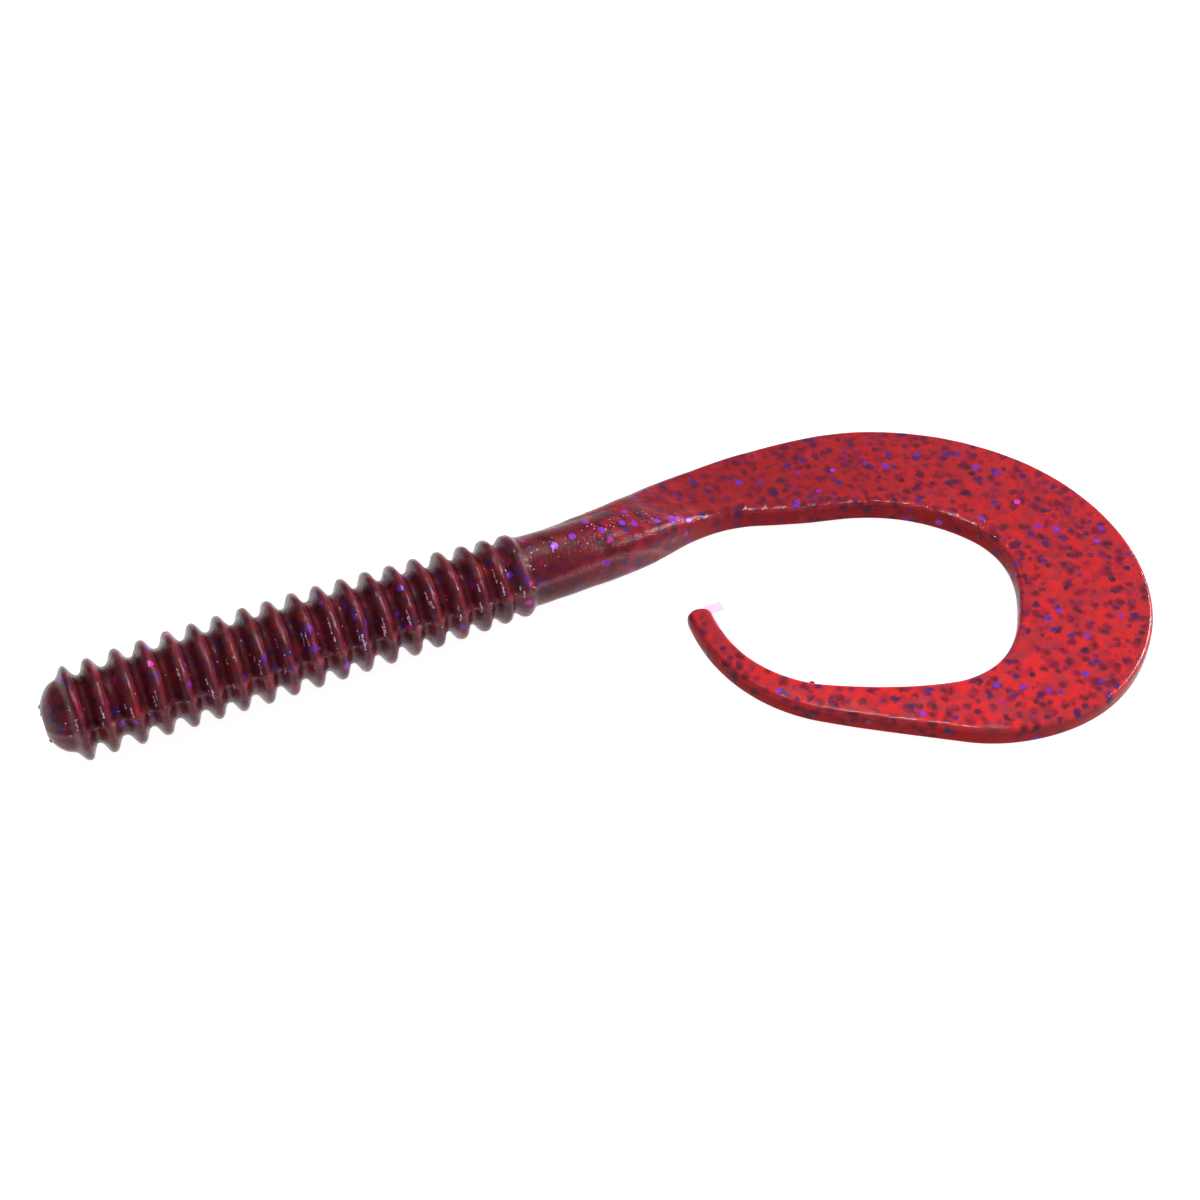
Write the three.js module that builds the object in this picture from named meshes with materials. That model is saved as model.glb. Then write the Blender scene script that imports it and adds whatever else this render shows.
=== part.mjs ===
// Soft plastic curl-tail fishing worm, lying as it rests on a table.
// One moulding, cut into links at the places where the soft plastic bends:
// in the grooves between its rings, and at even steps along its waist and its ribbon tail.
// Millimetres, +X from the nose to the tail, +Z up, z = 0 is the table.

import * as THREE from 'three';

// ---- ringed body ----
const RING_COUNT = 19;
const RING_PITCH = 2.34;
const FATTEST_RING = 8;
const FATTEST_RADIUS = 4.47; // its crest radius; it touches the table
const RADIUS_TAPER = 0.0009; // share of the radius lost, times the square of the rings away from it
const GROOVE_DEPTH = 1.08;
const SHALLOW_GROOVE_DEPTH = 0.45; // the groove behind the last ring
const SHALLOW_GROOVES = 4; // how many grooves before the waist grow shallow
const CREST_SHARPNESS = 2; // above 1 makes narrow crests and wide grooves

// ---- nose ----
const NOSE_LENGTH = 3.0; // from the crest of the first ring to the tip
const NOSE_SHOULDER = 0.62; // the dome starts this far in front of that crest
const NOSE_SHOULDER_RADIUS = 3.5;
const NOSE_FLAT_RADIUS = 1.4; // the blunt end, square to the body

// ---- waist and ribbon tail ----
// The centre line in plan is a chain of arcs: how far each runs, and how far it turns (+ is left).
const TAIL_ARCS = [
  { run: 1.1, turn: 0 },
  { run: 13, turn: 23 },
  { run: 12, turn: -33 },
  { run: 7, turn: 0 },
  { run: 17.5, turn: -45 },
  { run: 20.5, turn: -79 },
  { run: 15.5, turn: -68 },
  { run: 12.5, turn: -10 },
  { run: 12, turn: -51 },
  { run: 5, turn: -16 },
];
// Pairs of distance along the centre line and size there.
const TAIL_WIDTH = [
  [0, 6.8], [20, 7.1], [31, 9.7], [43, 10.5], [55, 11.1], [67, 12.4],
  [74, 11.2], [82, 7.6], [89, 4.9], [97, 3.4], [107, 2.5], [116.1, 2.2],
];
const TAIL_THICKNESS = [
  [0, 6.8], [6, 6.5], [11, 5.3], [15, 3.9], [19, 2.8], [23, 2.3], [32, 2.2], [90, 2.2], [116.1, 1.8],
];
const WAIST_RISE_END = 22; // from here on the ribbon lies on the table
// The tip closes over its last stretch: how far before the end, and the shares of width and thickness left.
const TIP_ROUNDING = 1.0;
const TIP_SHOULDER = { before: 0.4, width: 0.8, thickness: 0.9 };
const TIP_END = { before: 0, width: 0.4, thickness: 0.7 };
const EDGE_SHARE = 0.8; // corner radius of the ribbon's edges, as a share of half its thickness

// ---- cuts between links ----
const GAP = 0.3; // clear space in a cut
const FLAT_CUT_GAP = 0.36; // the same between two ribbon links
const BODY_BEND = 6; // degrees that one cut in the body can bend
const WAIST_CUTS = [5, 10, 15.5];
const RIBBON_LINKS = 17;

// ---- mesh fineness ----
const RING_SEGMENTS = 24;
const RING_PROFILE = [0.55, 0.27, 0, -0.27, -0.55]; // places across the ring, as shares of half a pitch
const NOSE_STEPS = 5;
const CORNER_STEPS = 4;
const LINK_STEPS = 3;

const HALF_PITCH = RING_PITCH / 2;
const TAIL_START = (RING_COUNT - 1) * RING_PITCH + HALF_PITCH;
const TAIL_LENGTH = TAIL_ARCS.reduce((sum, arc) => sum + arc.run, 0);
const BEND_SLOPE = Math.tan(THREE.MathUtils.degToRad(BODY_BEND / 2));

const BODY_COLOUR = 0x5a2228;
const WAIST_COLOUR = 0x7a3036;
const RIBBON_COLOUR = 0xb8323a;

const worm = new THREE.Group();
worm.name = 'soft_plastic_worm';

function addPiece(name, geometry, colour) {
  const material = new THREE.MeshStandardMaterial({ color: colour, roughness: 0.25, metalness: 0 });
  const mesh = new THREE.Mesh(geometry, material);
  mesh.name = name;
  worm.add(mesh);
}

function numbered(name, number) {
  return `${name}_${String(number).padStart(2, '0')}`;
}

// Crest radius of a ring, counted from 1 at the nose.
function crestRadius(ring) {
  return FATTEST_RADIUS * (1 - RADIUS_TAPER * (ring - FATTEST_RING) ** 2);
}

// Radius at the bottom of the groove behind a ring.
function grooveRadius(ring) {
  const shallow = THREE.MathUtils.smoothstep(ring, RING_COUNT - SHALLOW_GROOVES, RING_COUNT);
  const depth = THREE.MathUtils.lerp(GROOVE_DEPTH, SHALLOW_GROOVE_DEPTH, shallow);
  const next = Math.min(ring + 1, RING_COUNT);
  return (crestRadius(ring) + crestRadius(next)) / 2 - depth;
}

// Radius of a ring's surface at a share of half a pitch behind (+) or in front of (-) its crest.
function ringSurface(ring, share) {
  const groove = grooveRadius(share > 0 ? ring : Math.max(ring - 1, 1));
  const crest = Math.pow((1 + Math.cos(Math.PI * share)) / 2, CREST_SHARPNESS);
  return groove + (crestRadius(ring) - groove) * crest;
}

// A body of revolution about the worm's own axis, from a profile of (distance along, radius).
function turned(profile, x) {
  const points = profile.map(([along, radius]) => new THREE.Vector2(radius, along));
  const geometry = new THREE.LatheGeometry(points, RING_SEGMENTS);
  geometry.rotateZ(-Math.PI / 2);
  geometry.translate(x, 0, FATTEST_RADIUS);
  return geometry;
}

// One ring with half a groove on each side. Its ends are shallow cones, which leave room to bend.
function ringGeometry(ring) {
  const face = HALF_PITCH - GAP / 2;
  const rimBehind = face - grooveRadius(ring) * BEND_SLOPE;
  const rimAhead = ring === 1 ? NOSE_SHOULDER - GAP / 2 : face - grooveRadius(ring - 1) * BEND_SLOPE;
  const radiusAhead = ring === 1 ? NOSE_SHOULDER_RADIUS : ringSurface(ring, -rimAhead / HALF_PITCH);
  const profile = [
    [ring === 1 ? -rimAhead : -face, 0],
    [-rimAhead, radiusAhead],
  ];
  for (const share of [...RING_PROFILE].reverse()) {
    if (share * HALF_PITCH > -rimAhead) profile.push([share * HALF_PITCH, ringSurface(ring, share)]);
  }
  profile.push([rimBehind, ringSurface(ring, rimBehind / HALF_PITCH)]);
  profile.push([face, 0]);
  return turned(profile, (ring - 1) * RING_PITCH);
}

// The blunt dome in front of the first ring.
function noseGeometry() {
  const depth = NOSE_LENGTH - NOSE_SHOULDER;
  const lastAngle = Math.acos(NOSE_FLAT_RADIUS / NOSE_SHOULDER_RADIUS);
  const profile = [[-NOSE_LENGTH, 0]];
  for (let step = NOSE_STEPS; step >= 0; step -= 1) {
    const angle = (lastAngle * step) / NOSE_STEPS;
    const along = (depth * Math.sin(angle)) / Math.sin(lastAngle);
    profile.push([-NOSE_SHOULDER - along, NOSE_SHOULDER_RADIUS * Math.cos(angle)]);
  }
  const backFace = -NOSE_SHOULDER - GAP / 2;
  profile[profile.length - 1][0] = backFace;
  profile.push([backFace, 0]);
  return turned(profile, 0);
}

// Point and heading on the tail's centre line in plan, at a distance from its start.
function tailPoint(distance) {
  let x = TAIL_START;
  let y = 0;
  let heading = 0;
  let left = distance;
  for (const arc of TAIL_ARCS) {
    const run = Math.min(arc.run, left);
    const turn = (THREE.MathUtils.degToRad(arc.turn) * run) / arc.run;
    const chord = turn === 0 ? run : (2 * run * Math.sin(turn / 2)) / turn;
    x += chord * Math.cos(heading + turn / 2);
    y += chord * Math.sin(heading + turn / 2);
    heading += turn;
    left -= run;
    if (left <= 0) break;
  }
  return { x, y, heading };
}

// Smooth value at a distance, from a table of [distance, value] pairs.
function smoothValue(table, distance) {
  const last = table.length - 1;
  const slope = (i) => {
    const before = table[Math.max(i - 1, 0)];
    const after = table[Math.min(i + 1, last)];
    return (after[1] - before[1]) / (after[0] - before[0]);
  };
  let i = 0;
  while (i < last - 1 && distance > table[i + 1][0]) i += 1;
  const span = table[i + 1][0] - table[i][0];
  const t = THREE.MathUtils.clamp((distance - table[i][0]) / span, 0, 1);
  const t2 = t * t;
  const t3 = t2 * t;
  const start = (2 * t3 - 3 * t2 + 1) * table[i][1] + (t3 - 2 * t2 + t) * span * slope(i);
  const end = (3 * t2 - 2 * t3) * table[i + 1][1] + (t3 - t2) * span * slope(i + 1);
  return start + end;
}

// The closed cross-section of the waist or ribbon: a rounded bar, which is a circle at the start.
function tailSection(distance, widthShare = 1, thicknessShare = 1) {
  const { x, y, heading } = tailPoint(distance);
  const halfWidth = (smoothValue(TAIL_WIDTH, distance) / 2) * widthShare;
  const halfHeight = (smoothValue(TAIL_THICKNESS, distance) / 2) * thicknessShare;
  const ribbon = THREE.MathUtils.smoothstep(distance, 0, WAIST_RISE_END);
  const corner = Math.min(halfWidth, halfHeight) * THREE.MathUtils.lerp(1, EDGE_SHARE, ribbon);
  const startRise = FATTEST_RADIUS - TAIL_THICKNESS[0][1] / 2;
  const rise = startRise * (1 - ribbon);
  const points = [];
  for (let quarter = 0; quarter < 4; quarter += 1) {
    const sideways = quarter === 0 || quarter === 3 ? 1 : -1;
    const upward = quarter < 2 ? 1 : -1;
    for (let step = 0; step <= CORNER_STEPS; step += 1) {
      const angle = ((quarter + step / CORNER_STEPS) * Math.PI) / 2;
      const across = sideways * (halfWidth - corner) + corner * Math.cos(angle);
      const up = upward * (halfHeight - corner) + corner * Math.sin(angle);
      points.push(
        new THREE.Vector3(
          x - across * Math.sin(heading),
          y + across * Math.cos(heading),
          rise + halfHeight + up,
        ),
      );
    }
  }
  return points;
}

// A closed skin over a row of equal sections, with a middle point on each end face.
function loft(sections, startMiddle, endMiddle) {
  const count = sections[0].length;
  const positions = [...sections.flat(), startMiddle, endMiddle].flatMap((p) => [p.x, p.y, p.z]);
  const index = [];
  for (let row = 0; row < sections.length - 1; row += 1) {
    for (let i = 0; i < count; i += 1) {
      const a = row * count + i;
      const b = row * count + ((i + 1) % count);
      index.push(a, b, a + count, b, b + count, a + count);
    }
  }
  const lastRow = (sections.length - 1) * count;
  const startIndex = sections.length * count;
  for (let i = 0; i < count; i += 1) {
    const next = (i + 1) % count;
    index.push(startIndex, next, i);
    index.push(startIndex + 1, lastRow + i, lastRow + next);
  }
  const geometry = new THREE.BufferGeometry();
  geometry.setAttribute('position', new THREE.Float32BufferAttribute(positions, 3));
  geometry.setIndex(index);
  geometry.computeVertexNormals();
  return geometry;
}

// One link from one cut to the next. A thick link's end faces are crowned, as the rings' are.
function linkGeometry(from, to, crownStart, crownEnd, closesTip) {
  const start = from + crownStart;
  const end = to - crownEnd - (closesTip ? TIP_ROUNDING : 0);
  const sections = [];
  for (let step = 0; step <= LINK_STEPS; step += 1) {
    sections.push(tailSection(start + ((end - start) * step) / LINK_STEPS));
  }
  if (closesTip) {
    for (const { before, width, thickness } of [TIP_SHOULDER, TIP_END]) {
      sections.push(tailSection(to - before, width, thickness));
    }
  }
  const middle = (section, distance) => {
    const z = section.reduce((sum, p) => sum + p.z, 0) / section.length;
    const { x, y } = tailPoint(distance);
    return new THREE.Vector3(x, y, z);
  };
  return loft(sections, middle(sections[0], from), middle(sections[sections.length - 1], to));
}

addPiece('nose', noseGeometry(), BODY_COLOUR);
for (let ring = 1; ring <= RING_COUNT; ring += 1) {
  addPiece(numbered('ring', ring), ringGeometry(ring), BODY_COLOUR);
}

const crown = (distance) => (smoothValue(TAIL_WIDTH, distance) / 2) * BEND_SLOPE;
let cut = 0;
WAIST_CUTS.forEach((nextCut, i) => {
  const isLast = i === WAIST_CUTS.length - 1;
  const crownEnd = isLast ? 0 : crown(nextCut);
  const geometry = linkGeometry(cut + GAP / 2, nextCut - GAP / 2, crown(cut), crownEnd, false);
  addPiece(numbered('waist', i + 1), geometry, WAIST_COLOUR);
  cut = nextCut;
});

const ribbonStart = cut;
const linkLength = (TAIL_LENGTH - ribbonStart) / RIBBON_LINKS;
for (let link = 1; link <= RIBBON_LINKS; link += 1) {
  const from = ribbonStart + (link - 1) * linkLength + FLAT_CUT_GAP / 2;
  const isTip = link === RIBBON_LINKS;
  const to = ribbonStart + link * linkLength - (isTip ? 0 : FLAT_CUT_GAP / 2);
  const name = isTip ? 'tail_tip' : numbered('tail', link);
  addPiece(name, linkGeometry(from, to, 0, 0, isTip), RIBBON_COLOUR);
}

// The origin is the middle of the footprint.
const bounds = new THREE.Box3().setFromObject(worm);
const centre = bounds.getCenter(new THREE.Vector3());
for (const mesh of worm.children) mesh.geometry.translate(-centre.x, -centre.y, -bounds.min.z);

export default worm;
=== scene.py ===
"""Looks of the soft plastic curl-tail worm: one glossy skin that bends at every joint, with glitter in it."""

import math
import random

import bpy
import numpy as np
from mathutils import Matrix, Vector, noise


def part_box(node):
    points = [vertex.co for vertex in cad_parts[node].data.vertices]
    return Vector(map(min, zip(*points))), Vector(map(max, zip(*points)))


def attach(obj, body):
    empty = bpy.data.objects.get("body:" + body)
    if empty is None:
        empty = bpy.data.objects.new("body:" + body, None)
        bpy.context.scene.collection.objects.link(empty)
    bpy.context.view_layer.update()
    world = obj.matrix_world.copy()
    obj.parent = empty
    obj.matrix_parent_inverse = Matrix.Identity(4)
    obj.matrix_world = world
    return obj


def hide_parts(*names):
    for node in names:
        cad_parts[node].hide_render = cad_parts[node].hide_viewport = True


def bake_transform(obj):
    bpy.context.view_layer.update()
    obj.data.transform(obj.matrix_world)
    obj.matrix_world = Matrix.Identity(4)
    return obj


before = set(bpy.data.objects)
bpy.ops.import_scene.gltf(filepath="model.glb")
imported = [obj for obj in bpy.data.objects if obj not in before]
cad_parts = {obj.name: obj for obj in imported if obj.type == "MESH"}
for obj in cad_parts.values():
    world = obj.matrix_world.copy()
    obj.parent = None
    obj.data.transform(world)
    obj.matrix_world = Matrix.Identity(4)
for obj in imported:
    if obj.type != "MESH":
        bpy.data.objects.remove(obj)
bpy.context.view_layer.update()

MM = 0.001  # shapes are worked out in millimetres, and become metres in each mesh
SEED = 7

# ---- ringed body (mm) ----
RING_COUNT = 19
NOSE_SHOULDER = 0.62  # the nose's dome starts this far in front of the first crest
NOSE_SHOULDER_RADIUS = 3.4
NOSE_FLAT_RADIUS = 1.2
GROOVE_DEPTH = 1.15
LAST_GROOVE_DEPTH = 0.6
SHALLOW_GROOVES = 4  # the grooves before the waist grow shallow, and their rings round
CREST_SHARPNESS = (0.92, 0.72)  # of the first rings, of the last ring
CREST_BLUNTNESS = 0.6  # how much of a flat top the rims have
RING_WOBBLE = 0.05  # how unevenly the rings' rims are moulded
RING_SHIFT = 0.03  # and how far off the middle of the ring, in half pitches
RING_SWELL = 0.09  # the rings' rims stand this far out at the nose, and not at the waist
HALVES_OFFSET = 0.14  # the lower half of the mould sat this far towards the tail
HALVES_STEP = 0.06  # and cut this much less deep
NOSE_BUMP = 0.95  # how far in front of its crest the first ring starts
# Pairs of distance behind the first ring and how far the moulding sways sideways there.
BODY_SWAY = [(-5, -0.52), (0, -0.46), (8, -0.32), (18, -0.26), (44, -0.28), (50, -0.14), (57, 0), (70, 0)]
# The same for how far the rings were moulded off even spacing.
RING_DRIFT = [
    (-4, 0), (0, -0.2), (2.4, -0.3), (4.8, -0.12), (9, 0), (36, 0),
    (39, -0.2), (41.5, -0.5), (44, -0.6), (48, -0.35), (54, 0), (60, 0),
]
SWAY_ENDS = 12  # along the tail
SEAM_HEIGHT = 0.14  # the mould's parting line
SEAM_REACH = 0.34
SEAM_WEB = 0.4  # how much higher it stands in the grooves
SEAM_RAGGEDNESS = [(1.3, 0.9, 5), (4, 0.7, 9)]  # waves a millimetre, how strong, and which waves
BODY_SEAM_SHOWN = 0.5  # how much of its pale colour, paler flash with painted glint specks, it has there, next to the waist's
SEAM_TILT = 21  # degrees that the body is rolled against the mould's parting plane
TAIL_SEAM_TILT = [(0, 24), (4, 23), (8, 18), (11, 6), (14, -20), (18, -50)]
SEAM_ENDS = (11, 16)  # it fades into the ribbon's lower edge

# ---- waist and ribbon tail (mm) ----
# The centre line in plan is a chain of arcs: how far each runs, and how far it turns (+ is left).
TAIL_ARCS = [
    (1.1, 0), (13, 23), (12, -33), (7, 0), (17.5, -45),
    (20.5, -79), (15.5, -68), (12.5, -10), (12, -51), (5, -16),
]
# Pairs of distance along the centre line and value there.
TAIL_WIDTH = [
    (0, 6.8), (20, 7.1), (31, 9.7), (43, 10.5), (55, 11.1), (67, 12.4),
    (74, 11.2), (82, 7.6), (89, 4.9), (97, 3.4), (107, 2.5), (116.1, 2.2),
]
TAIL_THICKNESS = [
    (0, 6.8), (6, 6.5), (11, 5.3), (15, 3.9), (19, 2.8), (23, 2.3), (32, 2.2), (90, 2.2), (116.1, 1.8),
]
TAIL_CORNER = [(0, 3.4), (5, 2.6), (10, 1.7), (15, 1.1), (20, 0.7), (26, 0.5), (100, 0.45), (116.1, 0.6)]
# How deep the plastic looks along the tail, which darkens its red.
RIBBON_DEPTH = [
    (0, 1.0), (20, 1.0), (30, 0.9), (45, 0.65), (60, 0.45), (75, 0.15), (85, 0), (100, 0), (116.1, 0.4),
]
WAIST_CUTS = [0, 5, 10, 15.5]
RIBBON_LINKS = 17
WAIST_RISE_END = 22  # from here on the ribbon lies on the table
FLAT_FROM = 15  # the section has changed from a circle to a flat bar
TIP_ROUNDING = 0.9
TIP_TRIM = 0.4  # the tip ends this much short
TIP_SHARES = (0, 0.25, 0.5, 0.7, 0.85, 0.95, 0.99)  # where its rows are
TIP_SQUARENESS = 2.6  # 2 would be a round end
TIP_HEIGHT = 0.35  # how much of its height is left at its end
BEAD_HEIGHT = 0.14  # the ribbon is a little thicker along its inner edge
BEAD_PLACE, BEAD_REACH = 0.9, 0.7  # from that edge, and to either side
BEAD_LUMPS = [(1.7, 1.3, 3)]  # unevenly so: waves a millimetre, how strong, and which waves
BEAD_ENDS = (50, 66)  # as far as its widest part
WALL_BULGE = 0.08
ROUNDEST = 0.98  # the largest corner, as a share of half the width or height
RIPPLE_PLACE = (63.0, -3.0)  # shallow flow marks where the ribbon turns hardest
RIPPLE_HEIGHT = 0.045
RIPPLE_PITCH = 1.7
RIPPLE_REACH = 3.6
RIPPLE_WANDER, RIPPLE_WARP = 0.5, (0.9, 1.7)  # how far off round they are, and how fast that changes
# Moulding unevenness everywhere: waves a millimetre and how high they are, coarse and fine.
BODY_WAVES = [(0.55, 0.07), (1.9, 0.035)]
TAIL_WAVES = [(0.5, 0.05), (1.8, 0.012)]

# ---- mesh fineness ----
AROUND = 96  # points in a section: 24 to a quarter
HALF_WALL, CORNER, HALF_FLAT = 3, 8, 13  # how a quarter of a flat section is shared out
ROWS_PER_RING = 18
NOSE_ROWS = 12
NOSE_CROWDING = 1.25  # how much closer they are towards the nose's flat end
FACE_ROWS = 5
ROW_STEP = 0.32  # along the tail

# ---- where the plastic's look changes ----
# Between two distances along the tail, and by steepness from 0, level, to 1, upright.
STEM_LOOK = (-1, 30)  # the body's look fades out
RIBBON_LOOK = (8, 24)  # walls and rims get looks of their own: a painted shade on the walls, a painted pink edge light on the rims
WALL_STEEPNESS = (0.25, 0.95)
RIM_STEEPNESS, RIM_SPREAD = 0.3, 0.22
GLOSS = 0.5
WAIST_DULLING = 0.4  # how much less glossy the waist is
WAIST_DULL_FROM, WAIST_DULL_TO = (0, 2), (22, 14)
WALL_DULLING = 0.8  # how much less glossy the ribbon's walls are


def number(name, i):
    return f"{name}_{i:02d}"


def smooth(value, low, high):
    t = np.clip((value - low) / (high - low), 0, 1)
    return t * t * (3 - 2 * t)


def table_value(table, at):
    """Smooth value at a distance, from pairs of distance and value."""
    last = len(table) - 1

    def slope(i):
        before, after = table[max(i - 1, 0)], table[min(i + 1, last)]
        return (after[1] - before[1]) / (after[0] - before[0])

    i = 0
    while i < last - 1 and at > table[i + 1][0]:
        i += 1
    span = table[i + 1][0] - table[i][0]
    t = min(max((at - table[i][0]) / span, 0), 1)
    start = (2 * t**3 - 3 * t**2 + 1) * table[i][1] + (t**3 - 2 * t**2 + t) * span * slope(i)
    end = (3 * t**2 - 2 * t**3) * table[i + 1][1] + (t**3 - t**2) * span * slope(i + 1)
    return start + end


# ---- where the CAD's rings and tail are ----
def ring_box(ring):
    low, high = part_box(number("ring", ring))
    return low / MM, high / MM


def ring_middle(ring):
    low, high = ring_box(ring)
    return (low + high) / 2


PITCH = (ring_middle(RING_COUNT).x - ring_middle(2).x) / (RING_COUNT - 2)
FIRST_CREST = ring_middle(2).x - PITCH
AXIS_Y = ring_middle(2).y
AXIS_Z = ring_middle(2).z
NOSE_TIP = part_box("nose")[0].x / MM
CREST_RADIUS = [0] + [(ring_box(k)[1].z - ring_box(k)[0].z) / 2 for k in range(1, RING_COUNT + 1)]
TAIL_START = FIRST_CREST + (RING_COUNT - 0.5) * PITCH
TAIL_LENGTH = sum(run for run, turn in TAIL_ARCS)
LINK_LENGTH = (TAIL_LENGTH - WAIST_CUTS[-1]) / RIBBON_LINKS
ANGLES = np.arange(AROUND) * 2 * math.pi / AROUND  # from +Y, over the top, to -Y and under

ring_dice = random.Random(SEED)
ring_shift = [0] + [ring_dice.uniform(-RING_SHIFT, RING_SHIFT) for ring in range(RING_COUNT)]
ring_swell = [
    ring_dice.uniform(-RING_WOBBLE, 0) + RING_SWELL * (1 - (ring / RING_COUNT) ** 2)
    for ring in range(RING_COUNT + 1)
]


def sway(x):
    """How far the moulding lies off its straight middle line, at a place along the worm."""
    return table_value(BODY_SWAY, x - FIRST_CREST)


def drift(x):
    """How far along the worm the moulding is off even spacing there."""
    return table_value(RING_DRIFT, x - FIRST_CREST)


def groove_radius(ring):
    """Radius at the bottom of the groove behind a ring."""
    if ring == RING_COUNT:
        return TAIL_WIDTH[0][1] / 2
    shallow = smooth(ring, RING_COUNT - SHALLOW_GROOVES, RING_COUNT)
    depth = GROOVE_DEPTH + (LAST_GROOVE_DEPTH - GROOVE_DEPTH) * shallow
    return (CREST_RADIUS[ring] + CREST_RADIUS[ring + 1]) / 2 - depth


def body_radius(x):
    """Radius of the nose and of the ringed body, without its unevenness, at a place along the worm."""
    along = x - FIRST_CREST
    if along < 0:
        depth = FIRST_CREST - NOSE_SHOULDER - NOSE_TIP
        steepest = math.acos(NOSE_FLAT_RADIUS / NOSE_SHOULDER_RADIUS)
        share = min(max((-along - NOSE_SHOULDER) / depth, 0), 1)
        dome = NOSE_SHOULDER_RADIUS * math.cos(math.asin(share * math.sin(steepest)))
        bump = max(0, (1 + math.cos(math.pi * min(-along / NOSE_BUMP, 1))) / 2) ** CREST_SHARPNESS[0]
        return dome + (CREST_RADIUS[1] + ring_swell[1] - NOSE_SHOULDER_RADIUS) * bump
    ring = min(int(round(along / PITCH)) + 1, RING_COUNT)
    off = (along - (ring - 1) * PITCH) / (PITCH / 2)
    off = off - ring_shift[ring] * math.cos(math.pi * off / 2) if 1 < ring else off
    groove = groove_radius(ring if off > 0 else max(ring - 1, 1))
    round_share = smooth(ring, RING_COUNT - SHALLOW_GROOVES - 1, RING_COUNT)
    sharpness = CREST_SHARPNESS[0] + (CREST_SHARPNESS[1] - CREST_SHARPNESS[0]) * round_share
    rise = (1 + math.cos(math.pi * off)) / 2
    blunt = math.sin(math.pi / 2 * rise) ** (2 * sharpness)
    crest = rise**sharpness + (blunt - rise**sharpness) * CREST_BLUNTNESS
    return groove + (CREST_RADIUS[ring] + ring_swell[ring] - groove) * crest


def seam_ridge(angles, radius, tilt, top):
    """The mould's parting line on both sides of a round section, top high."""
    height = np.zeros_like(angles)
    for place in (180 - tilt, 360 - max(tilt, 0)):
        away = (angles - math.radians(place) + math.pi) % (2 * math.pi) - math.pi
        height += top * np.clip(1 - np.abs(away) * radius / SEAM_REACH, 0, 1)
    return height


def uneven(points, waves):
    """Small smooth unevenness at each point, always the same."""
    return sum(size * np.array([noise.noise(Vector(p) * scale) for p in points]) for scale, size in waves)


def lumps_along(at, waves):
    """A factor around 1 that changes along the worm."""
    factor = 1
    for scale, strength, which in waves:
        factor += strength * noise.noise(Vector((at * scale, 0, which)))
    return factor


def under_half(angles):
    """How far each angle is under the mould's parting lines, 0 to 1."""
    return smooth(np.sin(angles + math.radians(SEAM_TILT)), 0.05, -0.05)


def body_section(x, radius=None):
    """The skin's points round the nose or body, or round a smaller circle on the nose's flat end."""
    if radius is None:
        radius, under = body_radius(x), body_radius(x - HALVES_OFFSET) + HALVES_STEP
        radii = radius + (under - radius) * under_half(ANGLES) * (x > FIRST_CREST)
    else:
        radii = np.full(AROUND, radius)
    across, up = radii * np.cos(ANGLES), radii * np.sin(ANGLES)
    base = np.stack([np.full(AROUND, x + drift(x)), AXIS_Y + sway(x) + across, AXIS_Z + up], 1)
    waves = uneven(base, BODY_WAVES)
    ring = min(max(int(round((x - FIRST_CREST) / PITCH)) + 1, 1), RING_COUNT)
    sunk = min(max((CREST_RADIUS[ring] - radius) / GROOVE_DEPTH, 0), 1) if x > FIRST_CREST else 0
    ridge_height = (SEAM_HEIGHT + SEAM_WEB * sunk) * lumps_along(x, SEAM_RAGGEDNESS)
    ridge = seam_ridge(ANGLES, radius, SEAM_TILT, ridge_height)
    height = (waves + ridge) * min(radius / 2, 1)
    base[:, 1] += height * np.cos(ANGLES)
    base[:, 2] += height * np.sin(ANGLES)
    base[:, 2] = np.maximum(base[:, 2], 0)
    return base


def tail_place(distance):
    """Point in plan and heading on the tail's centre line."""
    x, y, heading, left = TAIL_START, AXIS_Y, 0.0, distance
    for run, turn in TAIL_ARCS:
        step = min(run, left)
        angle = math.radians(turn) * step / run
        chord = step if turn == 0 else 2 * step * math.sin(angle / 2) / angle
        x += chord * math.cos(heading + angle / 2)
        y += chord * math.sin(heading + angle / 2)
        heading += angle
        left -= step
        if left <= 0:
            break
    return x, y, heading


def flat_section(half_width, half_height, corner):
    """A bar with rounded corners, as pairs of across and up, from its left wall's middle over the top."""
    side, top = half_width - corner, half_height - corner
    quarter = []
    for i in range(HALF_WALL):
        quarter.append((half_width, top * i / HALF_WALL))
    for i in range(CORNER):
        angle = math.pi / 2 * i / CORNER
        quarter.append((side + corner * math.cos(angle), top + corner * math.sin(angle)))
    for i in range(HALF_FLAT):
        quarter.append((side * (1 - i / HALF_FLAT), half_height))
    quarter = np.array(quarter)
    mirrored = np.array([(0, half_height)] + list(quarter[:0:-1])) * (-1, 1)
    upper = np.concatenate([quarter, mirrored])
    return np.concatenate([upper, -upper])


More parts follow.
